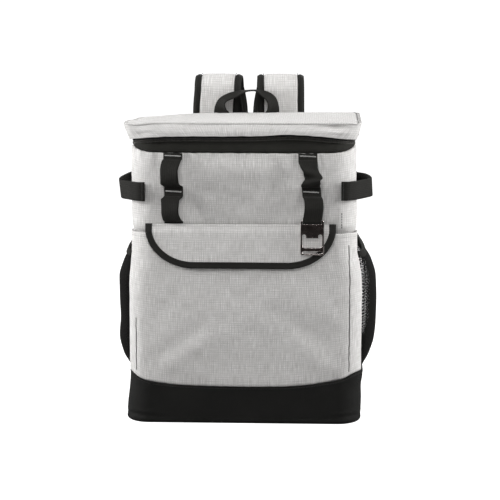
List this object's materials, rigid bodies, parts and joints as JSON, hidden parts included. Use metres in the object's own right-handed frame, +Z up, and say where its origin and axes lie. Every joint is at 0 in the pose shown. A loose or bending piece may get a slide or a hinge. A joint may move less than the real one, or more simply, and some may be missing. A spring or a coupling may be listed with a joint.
{
  "type": "cooler backpack",
  "caption": "Upright insulated backpack cooler with a zipped padded lid, flap pocket, net side pockets, webbing loops and a swinging bottle opener.",
  "frame": {"origin": "middle of the boot's flat underside, on the floor", "axes": "+Z up, the front with its pocket and opener faces -Y, +X to the right seen from the front, the shoulder straps are behind at +Y"},
  "size_m": [0.352, 0.2637, 0.453],
  "materials": {
    "shell_fabric": "light grey heathered ripstop cloth",
    "boot_fabric": "black coated cloth",
    "webbing": "black ribbed webbing",
    "binding": "black ribbed tape",
    "mesh": "black open net",
    "zip_tape": "black zip tape",
    "zip_coil": "black coil",
    "opener_metal": "dark gunmetal with bright edges",
    "buckle_plastic": "black moulded",
    "strap_lining": "black air mesh"
  },
  "bodies": {
    "bag": {"base_boot": "boot_fabric", "cooler_body": "shell_fabric", "front_pocket": "shell_fabric", "pocket_flap": "shell_fabric", "flap_binding": "binding", "lid": "shell_fabric", "zip_tape": "zip_tape", "zip_coil": "zip_coil", "zip_slider": "opener_metal", "daisy_strap_left": "webbing", "daisy_strap_right": "webbing", "side_loop_left": "webbing", "side_loop_right": "webbing", "mesh_pocket_left": "mesh", "mesh_pocket_right": "mesh", "mesh_binding_left": "binding", "mesh_binding_right": "binding", "grab_handle": "webbing", "shoulder_strap_left": "shell_fabric", "shoulder_strap_right": "shell_fabric", "strap_lining_left": "strap_lining", "strap_lining_right": "strap_lining", "strap_binding_inner_left": "binding", "strap_binding_outer_left": "binding", "strap_binding_inner_right": "binding", "strap_binding_outer_right": "binding", "strap_buckle_left": "buckle_plastic", "strap_buckle_right": "buckle_plastic", "lower_webbing_left": "webbing", "lower_webbing_right": "webbing"},
    "opener": {"bottle_opener": "opener_metal"}
  },
  "joints": [
    {"name": "opener_swing", "type": "hinge", "parent": "bag", "child": "opener", "pos_m": [0.092, -0.1095, 0.2756], "axis": [-1, 0, 0], "range_deg": [0, 80]}
  ]
}
